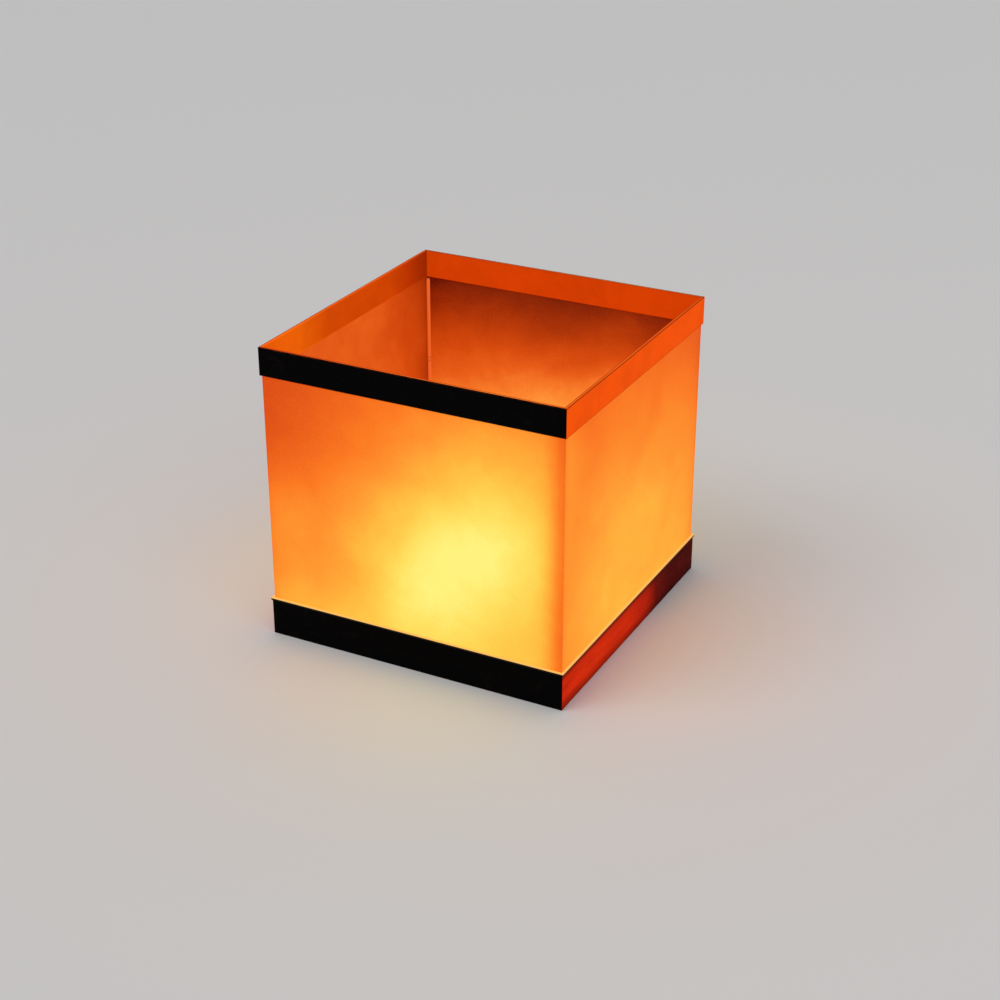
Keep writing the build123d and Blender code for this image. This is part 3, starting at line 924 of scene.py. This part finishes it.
def metal_look(name, color, roughness, scratch_scale):
    """Brushed metal. scratch_scale is small along the brushing, which stretches the scratches."""
    look = Look(name, linear(*color), roughness=roughness, Metallic=1.0)
    brushed = look.noise(0.0008, detail=4, rough=0.65, place=look.place(scale=scratch_scale))
    stain = look.noise(0.005, detail=4, rough=0.6, distortion=0.5)
    dull = linear(*(c * 0.78 for c in color))
    look.set("Base Color", look.mix(look.spread(stain, 0.45, 0.75, 0.0, 0.7), linear(*color), dull))
    wear = look.math("ADD", brushed, stain)
    look.set("Roughness", look.spread(wear, 0.7, 1.3, roughness - 0.08, roughness + 0.16))
    look.bump(brushed, 0.00002, 0.4)
    return look


def rubber_look():
    """Red silicone with a little dust."""
    look = Look("silicone", linear(150, 42, 24), roughness=0.55, Specular_IOR_Level=0.3)
    dust = look.noise(0.0011, detail=4, rough=0.7)
    dusty = look.mix(look.spread(dust, 0.45, 0.8), linear(150, 42, 24), linear(176, 84, 62))
    look.set("Base Color", dusty)
    look.set("Roughness", look.spread(dust, 0.3, 0.7, 0.45, 0.75))
    look.bump(dust, 0.00004, 0.5)
    return look


def circuit_look():
    """Green lacquer over copper tracks that turn at right angles."""
    look = Look("circuit_green", linear(20, 104, 58), roughness=0.35)
    tracks = look.node("ShaderNodeTexVoronoi", feature="F1", distance="CHEBYCHEV")
    look.plug(tracks.inputs["Vector"], look.place())
    tracks.inputs["Scale"].default_value = 1 / 0.0030
    edge = look.math("FRACT", look.math("MULTIPLY", tracks.outputs["Distance"], 5.0))
    track = look.spread(edge, 0.42, 0.55)
    weave = look.noise(0.0003, detail=2)
    lacquer = look.mix(track, linear(14, 78, 44), linear(32, 128, 70))
    threads = look.spread(weave, 0.4, 0.8, 0.0, 0.3)
    look.set("Base Color", look.mix(threads, lacquer, linear(60, 140, 90)))
    look.set("Roughness", look.spread(weave, 0.3, 0.7, 0.28, 0.42))
    look.bump(look.math("MULTIPLY_ADD", weave, 0.2, track), 0.00004, 0.6)
    return look


def led_look():
    """The LED's clear resin, lit from within."""
    look = Look("led_resin", linear(255, 214, 140), roughness=0.14, Specular_IOR_Level=0.5)
    haze = look.noise(0.0012, detail=3)
    glow = look.mix(look.spread(haze, 0.3, 0.7), linear(255, 200, 110), linear(255, 234, 180))
    look.glow(glow, 1.6)
    clouded = look.mix(look.spread(haze, 0.3, 0.7), linear(246, 200, 120), linear(255, 226, 164))
    look.set("Base Color", clouded)
    look.set("Roughness", look.spread(haze, 0.3, 0.7, 0.10, 0.20))
    look.bump(haze, 0.00001, 0.3)
    return look


def resistor_look():
    """A black chip with tinned ends."""
    look = Look("resistor_ceramic", linear(38, 38, 42), roughness=0.4)
    low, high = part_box("series_resistor")
    centre = (low + high) / 2
    size = high - low
    long_axis = "X" if size.x > size.y else "Y"
    reach = (size.x if long_axis == "X" else size.y) / 2
    middle = centre.x if long_axis == "X" else centre.y
    away = look.math("ABSOLUTE", look.math("SUBTRACT", look.axis(long_axis), middle))
    tinned = look.spread(away, reach * 0.66, reach * 0.70)
    grain = look.noise(0.0003, detail=3)
    body = look.mix(look.spread(grain, 0.3, 0.7), linear(30, 30, 34), linear(52, 52, 58))
    tin = look.mix(look.spread(grain, 0.3, 0.7), linear(176, 176, 172), linear(214, 214, 208))
    look.set("Base Color", look.mix(tinned, body, tin))
    look.set("Metallic", tinned)
    look.set("Roughness", look.spread(grain, 0.3, 0.7, 0.3, 0.5))
    look.bump(grain, 0.00002, 0.5)
    return look


def dress_lamp():
    """Every piece of the lamp and its cap."""
    housing = moulded_look("ivory_housing", (236, 222, 190), 0.40, 0.40, tone=0.75)
    lamplight(housing, (255, 176, 90), 0.016, 0.018, 0.14, 0.20)
    dress("lamp_housing", housing)
    cap = moulded_look("ivory_cap", (236, 222, 190), 0.40, 0.40, tone=0.6)
    lamplight(cap, (255, 198, 104), 0.0112, 0.0190, 0.80, 0.30)
    dress("cap_ring", cap)
    dress("flame_lens", lens_look())
    dress("o_ring", rubber_look())
    dress("cell_cradle", moulded_look("cradle_plastic", (58, 58, 62), 0.50, 0.40))
    steel = metal_look("cell_steel", (198, 198, 196), 0.28, (1, 0.06, 1))
    dress("coin_cell_lower", steel)
    dress("coin_cell_upper", steel)
    brass = metal_look("contact_brass", (222, 186, 108), 0.30, (0.08, 1, 1))
    for node in ("negative_contact", "positive_contact", "switch_pads", "contact_bridge"):
        dress(node, brass)
    dress("circuit_board", circuit_look())
    dress("led", led_look())
    dress("series_resistor", resistor_look())


# ---------------------------------------------------------------- studio


FLOOR_REACH = 6.0
FLOOR_DROP = 0.05 * MM  # keeps the floor clear of the base


def make_floor():
    """A plain pale floor that takes shadows and is no part of the model."""
    corners = [(x * FLOOR_REACH, y * FLOOR_REACH, 0) for x, y in ((-1, -1), (1, -1), (1, 1), (-1, 1))]
    mesh = bpy.data.meshes.new("studio_floor")
    mesh.from_pydata(corners, [], [(0, 1, 2, 3)])
    floor = bpy.data.objects.new("studio_floor", mesh)
    floor.location.z = -FLOOR_DROP
    bpy.context.scene.collection.objects.link(floor)
    look = Look("studio_floor", (0.85, 0.84, 0.83), roughness=0.75, Specular_IOR_Level=0.2)
    mesh.materials.append(look.material)


SUN_ANGLE = math.radians(35)
AREA_SIZE = 1.6
LIGHTS_AIM = Vector((0, 0, 0.07))


def make_lights():
    """Soft, even studio light: a bright surround, a broad sun and a large lamp on the right."""
    world = bpy.data.worlds.new("studio")
    world.use_nodes = True
    background = world.node_tree.nodes["Background"]
    background.inputs["Color"].default_value = (0.77, 0.77, 0.78, 1)
    background.inputs["Strength"].default_value = 0.62
    bpy.context.scene.world = world
    lights = (
        ("key", "SUN", (-0.9, -1.1, 1.9), 0.52),
        ("side", "AREA", (1.4, -0.9, 1.5), 3.5),
    )
    for name, kind, place, power in lights:
        data = bpy.data.lights.new(name, kind)
        data.energy = power
        if kind == "SUN":
            data.angle = SUN_ANGLE
        else:
            data.size = AREA_SIZE
        light = bpy.data.objects.new(name, data)
        light.location = place
        towards = LIGHTS_AIM - light.location
        light.rotation_euler = towards.to_track_quat("-Z", "Y").to_euler()
        bpy.context.scene.collection.objects.link(light)


bpy.context.scene.view_settings.view_transform = "Standard"
make_camera()
make_paper()
make_bands()
dress_float()
dress_lamp()
make_floor()
make_lights()
